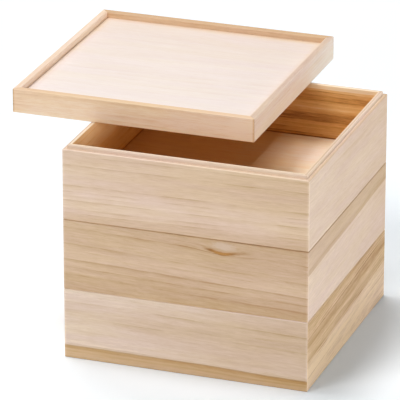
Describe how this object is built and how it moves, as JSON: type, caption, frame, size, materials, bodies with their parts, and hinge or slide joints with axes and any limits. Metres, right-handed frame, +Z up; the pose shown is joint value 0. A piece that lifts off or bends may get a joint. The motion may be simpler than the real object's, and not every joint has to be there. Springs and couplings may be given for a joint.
{
  "type": "stacking food box",
  "caption": "Square stacking food box of bare pale wood: shallow mitred tiers with lipped rims, and a flush lid with a tray top lying askew on the rim.",
  "frame": {"origin": "middle of the box's footprint, on the surface that it stands on", "axes": "+Z up, -Y the front, +X to the right as the front is seen"},
  "size_m": [0.256, 0.2481, 0.1923],
  "materials": {
    "board_wood": "bare, planed",
    "panel_wood": "bare, sanded"
  },
  "bodies": {
    "bottom_tier": {"bottom_tier_front_wall": "board_wood", "bottom_tier_back_wall": "board_wood", "bottom_tier_left_wall": "board_wood", "bottom_tier_right_wall": "board_wood", "bottom_tier_floor": "panel_wood"},
    "middle_tier": {"middle_tier_front_wall": "board_wood", "middle_tier_back_wall": "board_wood", "middle_tier_left_wall": "board_wood", "middle_tier_right_wall": "board_wood", "middle_tier_floor": "panel_wood"},
    "top_tier": {"top_tier_front_wall": "board_wood", "top_tier_back_wall": "board_wood", "top_tier_left_wall": "board_wood", "top_tier_right_wall": "board_wood", "top_tier_floor": "panel_wood"},
    "lid": {"lid_front_rail": "board_wood", "lid_back_rail": "board_wood", "lid_left_rail": "board_wood", "lid_right_rail": "board_wood", "lid_panel": "panel_wood"}
  },
  "joints": [
    {"name": "middle_tier_lift", "type": "slide", "parent": "bottom_tier", "child": "middle_tier", "axis": [0, 0, 1], "range_m": [0, 0.08]},
    {"name": "top_tier_lift", "type": "slide", "parent": "middle_tier", "child": "top_tier", "axis": [0, 0, 1], "range_m": [0, 0.08]},
    {"name": "lid_lift", "type": "slide", "parent": "top_tier", "child": "lid", "axis": [0, 0, 1], "range_m": [0, 0.08]}
  ]
}
